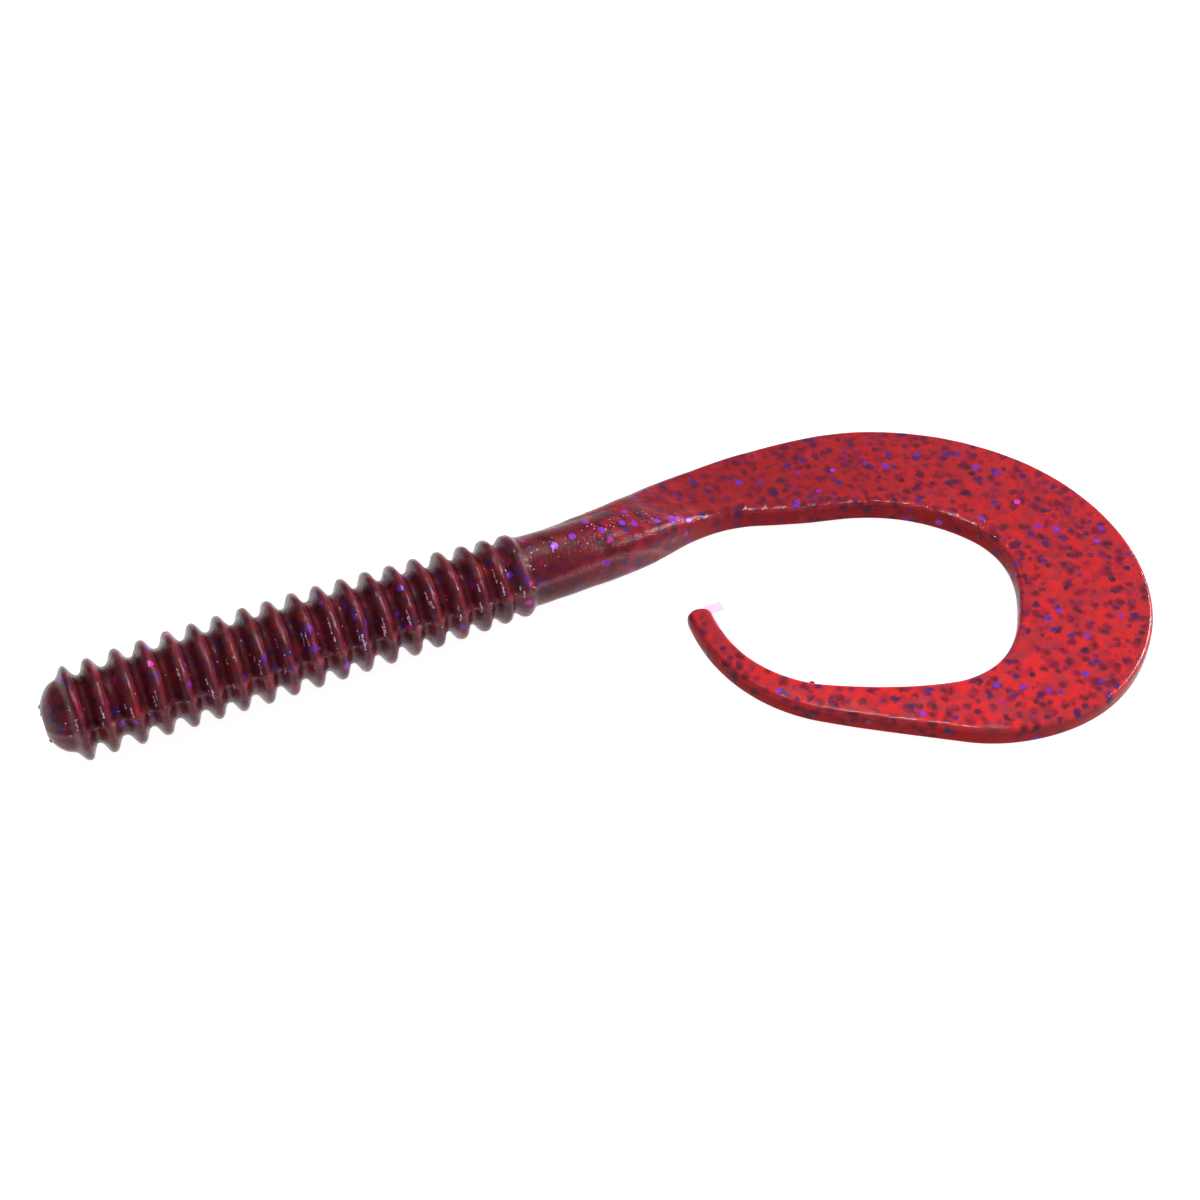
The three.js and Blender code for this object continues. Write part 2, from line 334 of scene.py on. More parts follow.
def tail_section(distance, width_share=1.0, height_share=1.0):
    """The skin's points round the waist or ribbon, which turns from a circle into a flat bar."""
    x, y, heading = tail_place(distance)
    if distance < SWAY_ENDS:
        x, y = x + drift(x), y + sway(x)
    half_width = table_value(TAIL_WIDTH, distance) / 2 * width_share
    full_height = table_value(TAIL_THICKNESS, distance) / 2
    half_height = full_height * height_share
    corner = min(table_value(TAIL_CORNER, distance), half_width * ROUNDEST, half_height * ROUNDEST)
    flatness = float(smooth(distance, 0, FLAT_FROM))
    circle = np.stack([half_width * np.cos(ANGLES), half_height * np.sin(ANGLES)], 1)
    section = circle * (1 - flatness) + flat_section(half_width, half_height, corner) * flatness
    across, up = section[:, 0], section[:, 1]
    ribbon = float(smooth(distance, 0, WAIST_RISE_END))
    rise = (AXIS_Z - TAIL_THICKNESS[0][1] / 2) * (1 - ribbon)
    share = across / half_width
    on_top = np.clip(up / half_height, 0, 1)
    wall = smooth(np.abs(share), 0.9, 1.0) * (1 - (up / half_height) ** 2)
    across = across + np.sign(across) * WALL_BULGE * wall * flatness
    bead = np.exp(-(((across + half_width - BEAD_PLACE) / BEAD_REACH) ** 2))
    bead_height = BEAD_HEIGHT * lumps_along(distance, BEAD_LUMPS) * (1 - float(smooth(distance, *BEAD_ENDS)))
    up = up + on_top * flatness * bead_height * bead
    reach = np.hypot(distance - RIPPLE_PLACE[0], across - RIPPLE_PLACE[1])
    wander = reach + RIPPLE_WANDER * np.sin(RIPPLE_WARP[0] * distance + RIPPLE_WARP[1] * across)
    ripple = np.sin(2 * math.pi * wander / RIPPLE_PITCH) * np.exp(-((reach / RIPPLE_REACH) ** 2))
    up = up + on_top**3 * RIPPLE_HEIGHT * ripple
    left = np.array([-math.sin(heading), math.cos(heading)])
    points = np.stack([x + across * left[0], y + across * left[1], rise + full_height + up], 1)
    waves = uneven(points, TAIL_WAVES)
    seam_height = SEAM_HEIGHT * (1 - float(smooth(distance, *SEAM_ENDS)))
    start_seam = seam_ridge(ANGLES, half_width, table_value(TAIL_SEAM_TILT, distance), seam_height)
    outward = np.stack([np.cos(ANGLES), np.sin(ANGLES)], 1)
    height = start_seam + waves * width_share
    points[:, 0] += height * outward[:, 0] * left[0] * (1 - flatness**2)
    points[:, 1] += height * outward[:, 0] * left[1] * (1 - flatness**2)
    points[:, 2] += height * np.where(up > 0, np.abs(outward[:, 1]), outward[:, 1])
    points[:, 2] = np.maximum(points[:, 2], 0)
    return points


class Skin:
    """The whole worm as one grid of points: rows along it, columns round it, and what belongs to each row."""

    def __init__(self):
        self.points, self.forward, self.tail_distance, self.edges = [], [], [], []
        self.nose_rows()
        self.ring_rows()
        self.tail_rows()
        self.points = np.array(self.points)
        self.normals = self.grid_normals()

    def add(self, section, heading, distance):
        self.points.append(section)
        self.forward.append((math.cos(heading), math.sin(heading), 0))
        self.tail_distance.append(distance)

    def mark(self):
        """The next row is the edge between two pieces."""
        self.edges.append(len(self.points))

    def nose_rows(self):
        for i in range(1, FACE_ROWS):
            radius = NOSE_FLAT_RADIUS * i / FACE_ROWS
            self.add(body_section(NOSE_TIP, radius), 0, NOSE_TIP - TAIL_START)
        length = FIRST_CREST - NOSE_TIP
        for i in range(NOSE_ROWS + ROWS_PER_RING // 2):
            share = i / (NOSE_ROWS + ROWS_PER_RING // 2)
            x = NOSE_TIP + length * share**NOSE_CROWDING
            self.add(body_section(x), 0, x - TAIL_START)

    def ring_rows(self):
        for ring in range(1, RING_COUNT + 1):
            self.mark()
            rows = ROWS_PER_RING if ring < RING_COUNT else ROWS_PER_RING // 2
            for i in range(rows):
                x = FIRST_CREST + (ring - 1 + i / ROWS_PER_RING) * PITCH
                self.add(body_section(x), 0, x - TAIL_START)

    def tail_rows(self):
        cuts = WAIST_CUTS + [WAIST_CUTS[-1] + LINK_LENGTH * (i + 1) for i in range(RIBBON_LINKS - 1)]
        ends = [(a + b) / 2 for a, b in zip(cuts, cuts[1:])] + [TAIL_LENGTH - TIP_TRIM - TIP_ROUNDING]
        begin = 0.0
        for end in ends:
            rows = max(2, round((end - begin) / ROW_STEP))
            for i in range(rows):
                distance = begin + (end - begin) * i / rows
                self.add(tail_section(distance), tail_place(distance)[2], distance)
            if end is not ends[-1]:
                self.mark()
            begin = end
        for share in TIP_SHARES:
            distance = TAIL_LENGTH - TIP_TRIM - TIP_ROUNDING * (1 - share)
            closing = (1 - share**TIP_SQUARENESS) ** (1 / TIP_SQUARENESS)
            section = tail_section(distance, closing, TIP_HEIGHT + (1 - TIP_HEIGHT) * closing)
            self.add(section, tail_place(distance)[2], distance)

    def grid_normals(self):
        p = self.points
        along = np.gradient(p, axis=0)
        around = np.roll(p, -1, axis=1) - np.roll(p, 1, axis=1)
        normals = np.cross(around, along)
        length = np.linalg.norm(normals, axis=2, keepdims=True)
        normals = normals / np.maximum(length, 1e-9)
        normals[0:2] = (-1, 0, 0)
        normals[-1] = self.forward[-1]
        return normals


skin = Skin()


def add_object(name, data):
    made = bpy.data.objects.new(name, data)
    bpy.context.scene.collection.objects.link(made)
    return made


def make_object(name, points, faces, normals=None):
    """A mesh object from points in millimetres, with its points' rest places kept for its textures."""
    mesh = bpy.data.meshes.new(name)
    mesh.from_pydata([Vector(p) * MM for p in points], [], faces)
    for polygon in mesh.polygons:
        polygon.use_smooth = True
    rest = mesh.attributes.new("rest_mm", "FLOAT_VECTOR", "POINT")
    rest.data.foreach_set("vector", np.array(points, np.float32).ravel())
    if normals is not None:
        mesh.normals_split_custom_set(normals)
    return add_object(name, mesh)


def set_numbers(made, name, values):
    attribute = made.data.attributes.new(name, "FLOAT", "POINT")
    attribute.data.foreach_set("value", np.array(values, np.float32))


def skin_piece(name, first, last):
    """The skin from one row to another, closed at both ends."""
    rows = last - first + 1
    points = skin.points[first : last + 1].reshape(-1, 3)
    normals = skin.normals[first : last + 1].reshape(-1, 3)
    start_middle = skin.points[first].mean(0)
    end_middle = skin.points[last].mean(0)
    points = np.concatenate([points, [start_middle, end_middle]])
    faces, corner_normals = [], []
    for row in range(rows - 1):
        for i in range(AROUND):
            a, b = row * AROUND + i, row * AROUND + (i + 1) % AROUND
            faces.append((a, b, b + AROUND, a + AROUND))
            corner_normals += [normals[k] for k in faces[-1]]
    back, ahead = -np.array(skin.forward[first]), np.array(skin.forward[last])
    top = (rows - 1) * AROUND
    for i in range(AROUND):
        j = (i + 1) % AROUND
        faces.append((rows * AROUND, j, i))
        corner_normals += [back] * 3
        faces.append((rows * AROUND + 1, top + i, top + j))
        corner_normals += [ahead] * 3
    made = make_object(name, points, faces, corner_normals)
    add_place_values(made, first, last)
    return made


def add_place_values(made, first, last):
    """What the plastic's look depends on at each point: how stem-like, deep, upright and glossy it is,
    and how near a rim or a parting line."""
    looks = {name: [] for name in ("stem", "deep", "wall", "rim", "seam", "gloss")}
    for row in range(first, last + 1):
        distance = skin.tail_distance[row]
        steep = 1 - np.abs(skin.normals[row][:, 2])
        flat = float(smooth(distance, *RIBBON_LOOK))
        wall = smooth(steep, *WALL_STEEPNESS) * flat
        tilt = table_value(TAIL_SEAM_TILT, distance) if distance > 0 else SEAM_TILT
        shown = 1 - float(smooth(distance, *SEAM_ENDS)) if distance > 0 else BODY_SEAM_SHOWN
        on_waist = float(smooth(distance, *WAIST_DULL_FROM) * smooth(distance, *WAIST_DULL_TO))
        looks["stem"] += [1 - float(smooth(distance, *STEM_LOOK))] * AROUND
        looks["deep"] += [table_value(RIBBON_DEPTH, max(distance, 0))] * AROUND
        looks["wall"] += list(wall)
        looks["rim"] += list(np.exp(-(((steep - RIM_STEEPNESS) / RIM_SPREAD) ** 2)) * flat)
        looks["seam"] += list(seam_ridge(ANGLES, TAIL_WIDTH[0][1] / 2, tilt, shown))
        looks["gloss"] += list(GLOSS * (1 - WAIST_DULLING * on_waist) * (1 - WALL_DULLING * wall))
    for name, values in looks.items():
        ends = [float(np.mean(values[:AROUND])), float(np.mean(values[-AROUND:]))]
        set_numbers(made, name, values + ends)


# ---- which bodies each piece lies between ----
BEND_MARGIN = 0.01  # each span's start and end lie this far inside its piece's end rows

CHAIN = (
    ["head"]
    + [number("ring", k) for k in range(2, RING_COUNT + 1)]
    + [number("waist", k) for k in (1, 2, 3)]
    + [number("tail", k) for k in range(1, RIBBON_LINKS)]
    + ["tail_tip"]
)


def slot_of(body):
    """Which plastic a body's skin is made of."""
    if body.startswith("waist"):
        return "waist_plastic"
    return "tail_plastic" if body.startswith("tail") else "body_plastic"


def cut_place(i):
    """The middle of cut i, counted from 0 behind the first ring, and the direction towards the tail there."""
    if i < RING_COUNT - 1:
        return np.array([FIRST_CREST + (i + 0.5) * PITCH, AXIS_Y, AXIS_Z]), np.array([1.0, 0, 0])
    step = i - (RING_COUNT - 1)
    last = len(WAIST_CUTS) - 1
    distance = WAIST_CUTS[step] if step <= last else WAIST_CUTS[-1] + LINK_LENGTH * (step - last)
    x, y, heading = tail_place(distance)
    height = skin.points[row_near(distance)][:, 2].mean()
    return np.array([x, y, height]), np.array([math.cos(heading), math.sin(heading), 0])


def row_near(distance):
    """The row of the skin nearest to a distance along the tail."""
    return int(np.argmin(np.abs(np.array(skin.tail_distance) - distance)))


class Span:
    """One piece of skin over one joint, from the middle of one link to the middle of the next."""

    def __init__(self, index):
        self.first = skin.edges[index]
        self.last = skin.edges[index + 1] if index + 1 < len(skin.edges) else len(skin.points) - 1
        self.bodies = (CHAIN[index], CHAIN[index + 1])
        middle, forward = cut_place(index)
        before = (skin.points[self.first] - middle) @ forward
        after = (skin.points[self.last] - middle) @ forward
        ahead = after.min() if index + 1 < len(skin.edges) else min(after.min(), LINK_LENGTH / 2)
        self.start = middle + forward * (before.max() + BEND_MARGIN)
        self.end = middle + forward * (ahead - BEND_MARGIN)

    def bend(self, made):
        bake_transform(made)


SPANS = [Span(i) for i in range(len(CHAIN) - 1)]


# ---- materials ----
def linear(red, green, blue):
    """A colour given as it looks on a screen, 0 to 255, as the shader's linear values."""

    def one(value):
        value /= 255
        return value / 12.92 if value <= 0.04045 else ((value + 0.055) / 1.055) ** 2.4

    return (one(red), one(green), one(blue), 1)


class Nodes:
    """Short ways to add and join a new material's shader nodes."""

    def __init__(self, name):
        self.material = bpy.data.materials.new(name)
        self.material.use_nodes = True
        self.tree = self.material.node_tree
        self.shader = self.tree.nodes["Principled BSDF"]

    def put(self, socket, value):
        """Join an output to a socket, or set the socket's own value."""
        if isinstance(value, bpy.types.NodeSocket):
            self.tree.links.new(value, socket)
        else:
            socket.default_value = value

    def new(self, kind, **inputs):
        """A new node of a kind, with its inputs joined or set by name."""
        node = self.tree.nodes.new("ShaderNode" + kind)
        for name, value in inputs.items():
            self.put(node.inputs[name], value)
        return node

    def attribute(self, name):
        node = self.new("Attribute")
        node.attribute_name = name
        return node.outputs["Vector"] if name == "rest_mm" else node.outputs["Fac"]

    def math(self, operation, a, b=0.0, clamp=False):
        node = self.new("Math")
        node.operation, node.use_clamp = operation, clamp
        self.put(node.inputs[0], a)
        self.put(node.inputs[1], b)
        return node.outputs[0]

    def ramp(self, value, low, high, to_low=0.0, to_high=1.0):
        """A smooth step from one value to another, between low and high."""
        node = self.new("MapRange")
        node.interpolation_type = "SMOOTHSTEP"
        for socket, given in zip(node.inputs, (value, low, high, to_low, to_high)):
            self.put(socket, given)
        return node.outputs[0]

    def mix(self, share, a, b):
        node = self.new("Mix", Factor=share)
        node.data_type = "RGBA"
        self.put(node.inputs[6], a)
        self.put(node.inputs[7], b)
        return node.outputs[2]

    def noise(self, place, scale, detail=2.0, distortion=0.0):
        node = self.new("TexNoise", Vector=place, Scale=scale, Detail=detail, Distortion=distortion)
        return node.outputs["Fac"]

    def turned(self, place, offset=(0, 0, 0), degrees=(0, 0, 0), scale=(1, 1, 1)):
        """The place moved, turned and scaled, so that two patterns don't line up."""
        turn = [math.radians(d) for d in degrees]
        return self.new("Mapping", Vector=place, Location=offset, Rotation=turn, Scale=scale).outputs[0]

    def cells(self, place, scale):
        """Distance from the middle of a flake's cell, and two random values of the cell's own."""
        node = self.new("TexVoronoi", Vector=place, Scale=scale, Randomness=0.85)
        node.distance = "MINKOWSKI"
        self.put(node.inputs["Exponent"], 3.0)
        split = self.new("SeparateColor", Color=node.outputs["Color"])
        return node.outputs["Distance"], split.outputs[0], split.outputs[1]

    def bump(self, height, strength, distance):
        return self.new("Bump", Height=height, Strength=strength, Distance=distance).outputs[0]


RIBBON_RED = linear(206, 40, 42)
CLOUDED_RED = linear(164, 46, 56)
DEEP_RIBBON_RED = linear(140, 30, 34)
SMUDGE = linear(76, 30, 42)
WAIST_RED = linear(126, 26, 34)
WAIST_SHADE = linear(80, 25, 34)
BODY_MAROON = linear(96, 31, 37)
BODY_SHADE = linear(56, 20, 26)
CLEAR_RED = linear(154, 10, 16)
# Painted shade: the ribbon's upright walls are coloured a darker red.
WALL_SHADE_RED = linear(146, 12, 22)
# Painted light: a pale pink on the ribbon's rounded rims, for light coming through their edges.
RIM_LIGHT_PINK = linear(220, 84, 96)
# Partly painted light: the parting line's thin flash is paler, and its brightest specks are painted glints.
SEAM_FLASH_AND_GLINT_PINK = linear(150, 84, 92)
# Painted sheen: faint grey streaks round the rings, where highlights run along them.
STREAK_SHEEN_GREY = linear(118, 84, 96)
BLURRED_FLAKE = linear(98, 24, 44)
GREY_FLAKE = linear(52, 30, 42)
INDIGO_FLAKE = linear(60, 22, 66)
BLUE_FLAKE = linear(62, 38, 108)
VIOLET_FLAKE = linear(120, 44, 176)
MAGENTA_FLAKE = linear(190, 24, 130)
WALL_SHADE_SHARE, RIM_LIGHT_SHARE = 0.85, 0.1  # how far walls take on their painted shade, and rims their painted pink edge light
STREAK_SCALE = (7, 0.7, 0.7)  # streaks a millimetre along the worm, and across it
BUMP_DEPTH = 0.00013
JITTER_SCALE, JITTER = 1.7, (0.75, 0.75, 0.75)  # how flake outlines are warped: waves a millimetre, mm

# Glitter below the surface, deepest first: where its cells lie, how they are turned, cells a millimetre,
# a flake's radius, how blurred its edge is, the share of cells that hold one, strength, and its two tints.
FLAKE_LAYERS = [
    ((7.3, 4.1, 17.9), (5, 52, -29), 0.6, 0.5, 0.34, 0.75, 0.55, BLURRED_FLAKE, CLOUDED_RED),
    ((3.1, 7.7, 1.3), (31, 17, 48), 0.8, 0.38, 0.22, 0.75, 0.65, BLURRED_FLAKE, INDIGO_FLAKE),
    ((13.7, 2.9, 8.3), (-22, 63, 15), 0.85, 0.37, 0.19, 0.6, 0.8, GREY_FLAKE, BLURRED_FLAKE),
    ((5.5, 1.2, 21.3), (48, -31, 77), 0.8, 0.34, 0.14, 0.45, 0.85, GREY_FLAKE, BLUE_FLAKE),
    ((9.4, 15.6, 4.8), (12, 39, -57), 0.65, 0.34, 0.12, 0.16, 0.75, BLUE_FLAKE, VIOLET_FLAKE),
    ((2.2, 5.9, 14.1), (72, -8, 33), 0.6, 0.26, 0.06, 0.12, 0.8, VIOLET_FLAKE, MAGENTA_FLAKE),
]


def add_flakes(n, colour, place, offset, degrees, scale, size, blur, share, strength, tint, other):
    """The colour with one layer of glitter over it."""
    distance, chance, tone = n.cells(n.turned(place, offset, degrees), scale)
    shape = n.ramp(distance, (size - blur) * scale, (size + blur) * scale, strength, 0.0)
    shown = n.math("MULTIPLY", shape, n.math("LESS_THAN", chance, share))
    return n.mix(shown, colour, n.mix(tone, tint, other))


def warped(n, place):
    """The place pushed about a little, which makes flake outlines irregular."""
    jitter = n.new("TexNoise", Vector=place, Scale=JITTER_SCALE).outputs["Color"]
    node = n.new("VectorMath")
    node.operation = "MULTIPLY_ADD"
    for socket, given in zip(node.inputs, (jitter, JITTER, place)):
        n.put(socket, given)
    return node.outputs[0]


def ribbon_colour(n, place, cloud):
    """Bright red, mottled, and darker and smudged where the plastic is deep."""
    mottle = n.noise(place, 1.1, 3.0)
    red = n.mix(n.ramp(n.math("ADD", cloud, mottle), 0.86, 1.2), RIBBON_RED, CLOUDED_RED)
    deep = n.attribute("deep")
    smudge = n.math("MULTIPLY", n.ramp(n.noise(place, 1.3, 2.0), 0.5, 0.7, 0.0, 0.75), deep)
    return n.mix(smudge, n.mix(deep, red, DEEP_RIBBON_RED), SMUDGE)


def waist_colour(n, cloud, patch):
    red = n.mix(n.ramp(cloud, 0.52, 0.8), WAIST_RED, CLEAR_RED)
    return n.mix(n.ramp(patch, 0.42, 0.62), red, WAIST_SHADE)


def body_colour(n, patch, streak):
    """Dark maroon with clearer and darker patches, and faint grey streaks round the rings, a painted sheen.
    """
    maroon = n.mix(n.ramp(patch, 0.6, 0.74, 0.0, 0.7), BODY_MAROON, CLEAR_RED)
    maroon = n.mix(n.ramp(patch, 0.48, 0.32, 0.0, 0.8), maroon, BODY_SHADE)
    return n.mix(n.ramp(streak, 0.56, 0.74, 0.0, 0.3), maroon, STREAK_SHEEN_GREY)


def plastic_colour(n, place, streak):
    """The body's colour runs into the waist's and the ribbon's, with glitter in it at several depths."""
    stem = n.attribute("stem")
    cloud, patch = n.noise(place, 0.35, 3.0, 0.4), n.noise(place, 0.75, 2.0)
    colour = n.mix(n.ramp(stem, 0.02, 0.75), ribbon_colour(n, place, cloud), waist_colour(n, cloud, patch))
    colour = n.mix(n.ramp(stem, 0.8, 1.0), colour, body_colour(n, patch, streak))
    # painted shade on the ribbon's upright walls
    colour = n.mix(n.math("MULTIPLY", n.attribute("wall"), WALL_SHADE_SHARE), colour, WALL_SHADE_RED)
    # painted pink edge light on the rims
    colour = n.mix(n.math("MULTIPLY", n.attribute("rim"), RIM_LIGHT_SHARE), colour, RIM_LIGHT_PINK)
    flakes_place = warped(n, place)
    for layer in FLAKE_LAYERS:
        colour = add_flakes(n, colour, flakes_place, *layer)
    # pale specks along the parting line, partly painted glints
    glint_specks = n.ramp(n.noise(place, 5.0, 2.0), 0.35, 0.6, 0.3, 0.9)
    return n.mix(n.math("MULTIPLY", n.attribute("seam"), glint_specks), colour, SEAM_FLASH_AND_GLINT_PINK)


def plastic_bump(n, place, fine, streak):
    """Shallow dimples and fine grain, rougher on the stem and the rims, and streaks round the rings."""
    stem = n.attribute("stem")
    dimples = n.math("MULTIPLY", n.noise(place, 3.2, 2.0), 0.35)
    rough = n.math("ADD", n.ramp(stem, 0.1, 0.9, 0.25, 0.75), n.math("MULTIPLY", n.attribute("rim"), 0.4))
    height = n.math("ADD", dimples, n.math("MULTIPLY", fine, rough))
    height = n.math("ADD", height, n.math("MULTIPLY", streak, n.ramp(stem, 0.9, 1.0, 0.0, 0.5)))
    return n.bump(height, 0.5, BUMP_DEPTH)


def plastic(name):
    """Glossy translucent plastisol, whose red deepens with thickness."""
    n = Nodes(name)
    place = n.attribute("rest_mm")
    streak = n.noise(n.turned(place, scale=STREAK_SCALE), 1.0, 3.0)
    fine = n.noise(place, 7.0, 3.0)
    surface = plastic_bump(n, place, fine, streak)
    n.put(n.shader.inputs["Base Color"], plastic_colour(n, place, streak))
    n.put(n.shader.inputs["Roughness"], n.ramp(fine, 0.3, 0.7, 0.13, 0.26))
    n.put(n.shader.inputs["Normal"], surface)
    n.put(n.shader.inputs["Coat Normal"], surface)
    n.put(n.shader.inputs["Coat Weight"], n.attribute("gloss"))
    n.shader.inputs["Specular IOR Level"].default_value = 0.02
    n.shader.inputs["Coat Roughness"].default_value = 0.05
    n.shader.inputs["Coat IOR"].default_value = 1.47
    return n.material


def glitter(name, colour, other, metallic):
    """A glitter flake's film: its tint shifts from flake to flake and a little across each."""
    n = Nodes(name)
    place = n.attribute("rest_mm")
    tint = n.attribute("tint")
    film = n.noise(place, 2.5, 2.0)
    share = n.math("ADD", n.math("MULTIPLY", tint, 0.75), n.math("MULTIPLY", film, 0.35), clamp=True)
    n.put(n.shader.inputs["Base Color"], n.mix(share, colour, other))
    n.put(n.shader.inputs["Roughness"], n.ramp(film, 0.3, 0.7, 0.18, 0.34))
    n.shader.inputs["Metallic"].default_value = metallic
    n.shader.inputs["Specular IOR Level"].default_value = 0.2
    return n.material


MATERIALS = {slot: plastic(slot) for slot in ("body_plastic", "waist_plastic", "tail_plastic")}
# Pale film: the tip's loose bit of film, and the pale chips that are painted glints.
MATERIALS["pale_film_and_painted_glints"] = glitter("pale_film_and_painted_glints", linear(232, 168, 204), linear(252, 206, 244), 0.0)
MATERIALS["black_flake"] = glitter("black_flake", linear(50, 20, 46), linear(128, 34, 58), 0.0)
MATERIALS["purple_flake"] = glitter("purple_flake", linear(70, 36, 130), linear(150, 56, 200), 0.1)
MATERIALS["pink_flake"] = glitter("pink_flake", linear(154, 28, 132), linear(210, 62, 172), 0.1)


# ---- the skin's pieces ----
def dress(made, slot, material=None):
    """Give a piece its material, which is the slot's own unless another is named."""
    made.data.materials.append(MATERIALS[material or slot])


def hold(made, index):
    """Bake a piece's transform into its mesh if it lies in a span of the skin, or let it ride the nose if it
    is in front of them all.
    """
    if index is None:
        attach(made, "head")
    else:
        SPANS[index].bend(made)


nose_skin = skin_piece("nose_skin", 0, skin.edges[0])
dress(nose_skin, "body_plastic")
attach(nose_skin, "head")
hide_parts("nose", "ring_01")

for span in SPANS:
    follower = span.bodies[1]
    piece = skin_piece(follower + "_skin", span.first, span.last)
    dress(piece, slot_of(follower))
    span.bend(piece)
    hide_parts(follower)


# ---- loose glitter at the surface ----
FLAKE_RADIUS = 0.38
FLAKE_LIFT = 0.012
FLAKE_SINK = 0.05
FLAKE_SIZES = (0.7, 1.05)  # of that radius
FLAKE_TILT = 0.03  # how far they lean, mm a mm
FLAKE_SPACING = 2.1  # radii between two flakes' middles, at least
FLAKE_COUNTS = {"black_flake": (120, 40), "purple_flake": (46, 28), "pink_flake": (5, 9)}  # tail, body
NOSE_ROW, TIP_ROWS = 6, 12  # none lie in front of this row, or on this many at the tip
TRIES = 30  # for each flake
SMALLEST_STEP = 0.05  # between two points of the grid


def grid_sample(grid, row, column):
    """A value of the skin's grid between its rows and columns."""
    row = min(max(row, 0), len(grid) - 1.001)
    r, c = int(row), int(math.floor(column))
    fr, fc = row - r, column - c
    c0, c1 = c % AROUND, (c + 1) % AROUND
    low = grid[r][c0] * (1 - fc) + grid[r][c1] * fc
    high = grid[r + 1][c0] * (1 - fc) + grid[r + 1][c1] * fc
    return low * (1 - fr) + high * fr


def hexagon(radius, turn=0.0):
    angles = [turn + k * math.pi / 3 for k in range(6)]
    return [(radius * math.cos(a), radius * math.sin(a)) for a in angles]


def flake_outline(radius, turn):
    """A hexagon as its middle, six points half way out and twelve round its rim."""
    corners = hexagon(radius, turn)
    spots = [(0.0, 0.0)] + [(x / 2, y / 2) for x, y in corners]
    for k in range(6):
        x, y = corners[k]
        nx, ny = corners[(k + 1) % 6]
        spots += [(x, y), ((x + nx) / 2, (y + ny) / 2)]
    return spots


FLAKE_POINTS = 19  # in its outline


def flake_faces(base):
    """The upper faces, lower faces and rim of one flake, whose upper points come first."""
    under = base + FLAKE_POINTS
    above, below, rim_faces = [], [], []
    for k in range(6):
        inner, next_inner = 1 + k, 1 + (k + 1) % 6
        rim, middle, next_rim = 7 + 2 * k, 8 + 2 * k, 7 + (2 * k + 2) % 12
        for a, b, c in (
            (0, inner, next_inner),
            (inner, rim, middle),
            (inner, middle, next_inner),
            (next_inner, middle, next_rim),
        ):
            above.append((base + a, base + c, base + b))
            below.append((under + a, under + b, under + c))
    for k in range(12):
        a, b = 7 + k, 7 + (k + 1) % 12
        rim_faces.append((base + a, base + b, under + b, under + a))
    return above, below, rim_faces


def flake_points(row, column, radius, turn, tilt, lift):
    """One flake laid into the skin at a place on its grid."""
    row_step = grid_sample(skin.points, row + 0.5, column) - grid_sample(skin.points, row - 0.5, column)
    column_step = grid_sample(skin.points, row, column + 0.5) - grid_sample(skin.points, row, column - 0.5)
    row_size, column_size = np.linalg.norm(row_step), np.linalg.norm(column_step)
    upper, under, normals = [], [], []
    for a, b in flake_outline(radius, turn):
        r, c = row + a / max(row_size, SMALLEST_STEP), column + b / max(column_size, SMALLEST_STEP)
        point, normal = grid_sample(skin.points, r, c), grid_sample(skin.normals, r, c)
        normal = normal / max(np.linalg.norm(normal), 1e-6)
        height = lift + tilt * a
        normals.append(normal)
        upper.append(point + normal * height)
        under.append(point + normal * (height - FLAKE_SINK))
    return upper + under, normals + normals


def span_of(row):
    """Which span a row of the skin is in, or none on the nose."""
    for i, span in enumerate(SPANS):
        if span.first <= row < span.last:
            return i
    return None


def on_corner(row, column):
    """Whether a place is on one of the ribbon's rounded long edges, where flat film wouldn't lie."""
    from_wall = min(column % (AROUND / 2), AROUND / 2 - column % (AROUND / 2))
    return skin.tail_distance[int(row)] > FLAT_FROM and HALF_WALL - 1 < from_wall < HALF_WALL + CORNER + 1


# Glitter that gathered along the waist's upper edge: colour, distance along the tail, and place round it.
WAIST_FLAKES = [
    ("purple_flake", 2.4, 27.5), ("purple_flake", 4.3, 26), ("purple_flake", 7.2, 28.5),
    ("purple_flake", 6.3, 43), ("purple_flake", 9.6, 28), ("purple_flake", 10.3, 31.5),
    ("purple_flake", 12.7, 35), ("purple_flake", 14.1, 38), ("purple_flake", 14.5, 35.5),
    ("pink_flake", 15.1, 37), ("purple_flake", 16.1, 39),
]
WAIST_FLAKE_TILT, WAIST_FLAKE_TINTS = 0.02, (0.3, 0.9)


